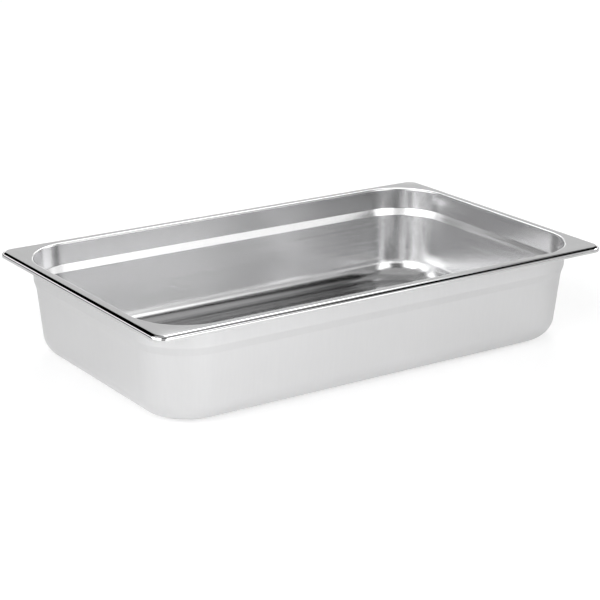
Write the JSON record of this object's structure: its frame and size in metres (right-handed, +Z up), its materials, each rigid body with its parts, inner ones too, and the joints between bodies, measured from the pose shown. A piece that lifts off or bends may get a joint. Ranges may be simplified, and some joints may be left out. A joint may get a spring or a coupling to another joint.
{
  "type": "food pan",
  "caption": "Deep rectangular stainless steel food pan pressed in one piece, with a flat rolled rim, a stacking shoulder below it, tapered walls and rounded corners.",
  "frame": {"origin": "middle of the flat underside that the pan stands on, which is also the bottom centre of the bounding box", "axes": "+X along the length, +Y across the width, +Z up out of the mouth"},
  "size_m": [0.53, 0.325, 0.102],
  "materials": {
    "stainless_sheet": "bright satin stainless, brushed lengthways inside, polished on the rolled rim"
  },
  "bodies": {
    "root": {"pan_body": "stainless_sheet"}
  },
  "joints": []
}
